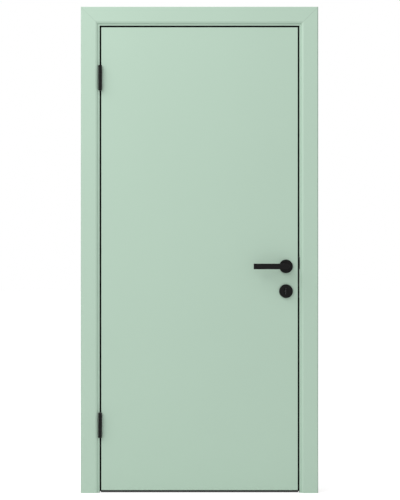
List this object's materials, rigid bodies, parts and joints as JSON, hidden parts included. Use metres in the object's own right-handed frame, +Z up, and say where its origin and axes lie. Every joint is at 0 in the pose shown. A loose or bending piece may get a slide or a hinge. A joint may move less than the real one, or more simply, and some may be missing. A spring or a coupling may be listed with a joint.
{
  "type": "flush door with lining, casings, lever handles and privacy lock",
  "caption": "Painted flush door leaf on side hinges in a lining with planted stops and bevelled casings, black lever handles over a thumb turn, seals and flush foot channel.",
  "frame": {"origin": "on the wall face of the hinge side jamb, at floor level, halfway through the lining's depth", "axes": "+X from the hinge side to the lock side, +Y from the hinge face of the leaf through the wall, +Z up"},
  "size_m": [1.0708, 0.168, 2.1934],
  "materials": {
    "frame_paint": "satin mint green paint",
    "casing_paint": "satin mint green paint",
    "leaf_paint": "satin mint green paint",
    "core_board": "raw board",
    "edging": "matt black",
    "channel": "dark grey anodised",
    "seal_rubber": "matt black",
    "black_metal": "matt black coating",
    "black_faceplate": "matt black coating",
    "lock_steel": "plain steel"
  },
  "bodies": {
    "frame": {"jamb_hinge_side": "frame_paint", "jamb_lock_side": "frame_paint", "jamb_head": "frame_paint", "stop_hinge_side": "frame_paint", "stop_lock_side": "frame_paint", "stop_head": "frame_paint", "front_casing_left": "casing_paint", "front_casing_right": "casing_paint", "front_casing_head": "casing_paint", "back_casing_left": "casing_paint", "back_casing_right": "casing_paint", "back_casing_head": "casing_paint", "seal_hinge_side": "seal_rubber", "seal_lock_side": "seal_rubber", "seal_head": "seal_rubber", "strike_plate": "black_metal", "top_hinge_frame_half": "black_metal", "top_hinge_pin": "black_metal", "bottom_hinge_frame_half": "black_metal", "bottom_hinge_pin": "black_metal"},
    "leaf": {"leaf_front_skin": "leaf_paint", "leaf_back_skin": "leaf_paint", "leaf_core": "core_board", "edging_hinge_side": "edging", "edging_lock_side": "edging", "edging_top": "edging", "foot_channel": "channel", "top_hinge_leaf_half": "black_metal", "bottom_hinge_leaf_half": "black_metal", "lock_case": "lock_steel", "lock_faceplate": "black_faceplate", "latch_bolt": "lock_steel", "dead_bolt": "lock_steel", "lever_rose_front": "black_metal", "lever_rose_back": "black_metal", "key_rose_front": "black_metal", "key_rose_back": "black_metal"},
    "handle": {"lever_front": "black_metal", "lever_back": "black_metal", "spindle": "lock_steel"},
    "turn": {"thumb_turn": "black_metal", "release_plug": "black_metal", "turn_spindle": "lock_steel"}
  },
  "joints": [
    {"name": "leaf_swing", "type": "hinge", "parent": "frame", "child": "leaf", "pos_m": [0.0351, -0.059, 1.05], "axis": [0, 0, -1], "range_deg": [0, 170]},
    {"name": "handle_turn", "type": "hinge", "parent": "leaf", "child": "handle", "pos_m": [0.8732, -0.03, 1.0225], "axis": [0, -1, 0], "range_deg": [0, 45], "stiffness_Nm_per_rad": 1.5, "springref_deg": -34.38},
    {"name": "turn_twist", "type": "hinge", "parent": "leaf", "child": "turn", "pos_m": [0.8732, -0.03, 0.9105], "axis": [0, -1, 0], "range_deg": [0, 90]}
  ]
}
